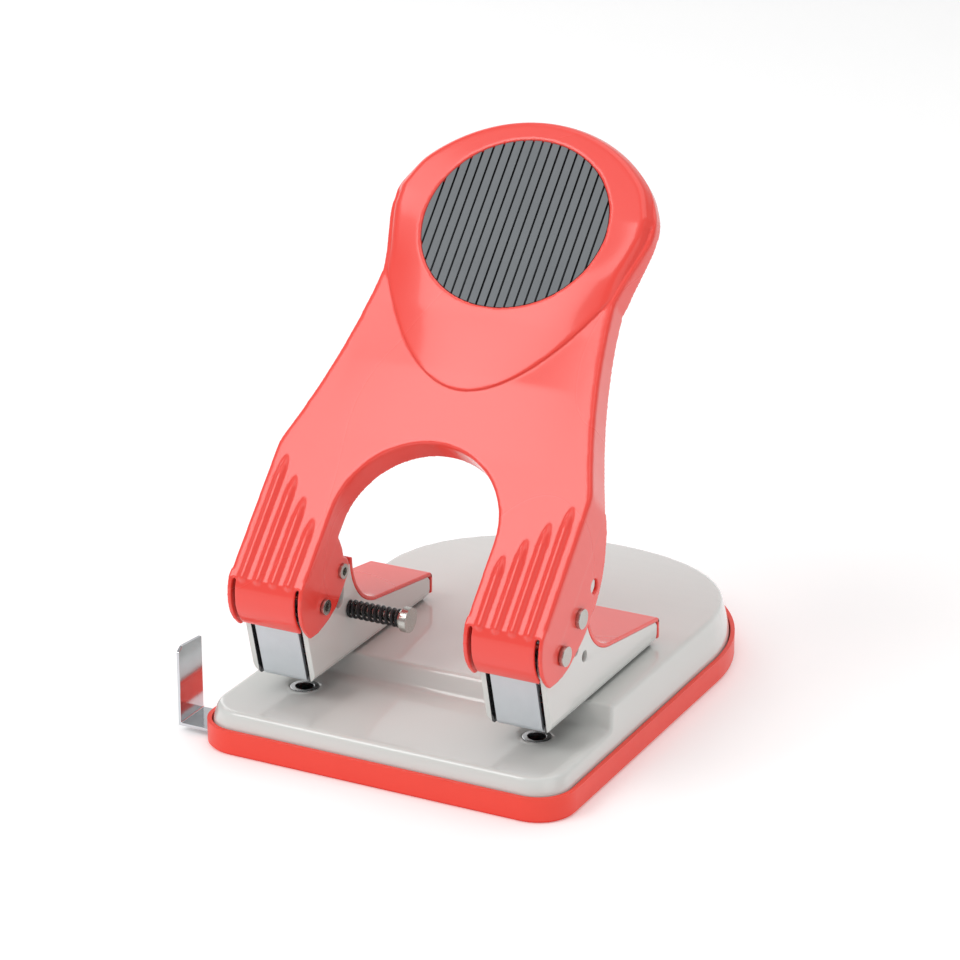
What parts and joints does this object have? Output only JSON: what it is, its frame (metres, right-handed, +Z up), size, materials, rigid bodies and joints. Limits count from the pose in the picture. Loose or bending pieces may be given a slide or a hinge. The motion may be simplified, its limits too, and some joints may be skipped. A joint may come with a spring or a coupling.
{
  "type": "two-hole desk punch",
  "caption": "Heavy-duty desk hole punch with a wide red lever handle, a grey pressed base, a chip tray and a sliding paper guide.",
  "frame": {"origin": "on the underside, midway between the two punch axes", "axes": "+X to the right seen from the paper side, +Y back from the paper mouth to the round rear end, +Z up"},
  "size_m": [0.134, 0.179, 0.1766],
  "materials": {
    "coral_red_paint": "gloss",
    "red_plastic": "satin",
    "pearl_grey_paint": "gloss",
    "zinc_plate": "satin",
    "bright_steel": "polished",
    "nickel": "satin",
    "chrome_strip": "polished",
    "black_spring": "oiled black",
    "grey_pad": "matt"
  },
  "bodies": {
    "base": {"base_plate": "pearl_grey_paint", "left_die": "bright_steel", "right_die": "bright_steel", "left_bracket": "pearl_grey_paint", "right_bracket": "pearl_grey_paint", "bracket_rivets": "nickel", "left_cover": "coral_red_paint", "right_cover": "coral_red_paint", "left_punch_guide": "zinc_plate", "right_punch_guide": "zinc_plate", "left_pivot_pin": "nickel", "right_pivot_pin": "nickel", "pivot_washers": "nickel", "left_punch_spring": "bright_steel", "right_punch_spring": "bright_steel", "lock_spring": "black_spring"},
    "handle": {"handle": "coral_red_paint", "grip_pad": "grey_pad", "left_drive_pin": "nickel", "right_drive_pin": "nickel"},
    "left_punch": {"left_punch": "bright_steel", "left_spring_collar": "bright_steel"},
    "right_punch": {"right_punch": "bright_steel", "right_spring_collar": "bright_steel"},
    "lock": {"lock_pin": "nickel", "lock_clip": "black_spring"},
    "tray": {"chip_tray": "red_plastic", "guide_keeper": "zinc_plate", "guide_screws": "nickel"},
    "paper_guide": {"paper_guide": "chrome_strip"}
  },
  "joints": [
    {"name": "handle_pivot", "type": "hinge", "parent": "base", "child": "handle", "pos_m": [0, -0.0096, 0.0453], "axis": [-1, 0, 0], "range_deg": [0, 48], "stiffness_Nm_per_rad": 0.8, "springref_deg": -40.11},
    {"name": "left_punch_slide", "type": "slide", "parent": "base", "child": "left_punch", "axis": [0, 0, -1], "range_m": [0, 0.011], "deforming": ["left_punch_spring"]},
    {"name": "right_punch_slide", "type": "slide", "parent": "base", "child": "right_punch", "axis": [0, 0, -1], "range_m": [0, 0.011], "deforming": ["right_punch_spring"]},
    {"name": "lock_slide", "type": "slide", "parent": "base", "child": "lock", "axis": [-1, 0, 0], "range_m": [0, 0.005], "stiffness_N_per_m": 300, "springref_m": -0.005, "deforming": ["lock_spring"]},
    {"name": "tray_release", "type": "slide", "parent": "base", "child": "tray", "axis": [0, 0, -1], "range_m": [0, 0.015]},
    {"name": "paper_guide_slide", "type": "slide", "parent": "tray", "child": "paper_guide", "axis": [-1, 0, 0], "range_m": [0, 0.05]}
  ],
  "couplings": [
    {"joint": "left_punch_slide", "follows": "handle_pivot", "m_per_rad": 0.013},
    {"joint": "right_punch_slide", "follows": "handle_pivot", "m_per_rad": 0.013}
  ]
}
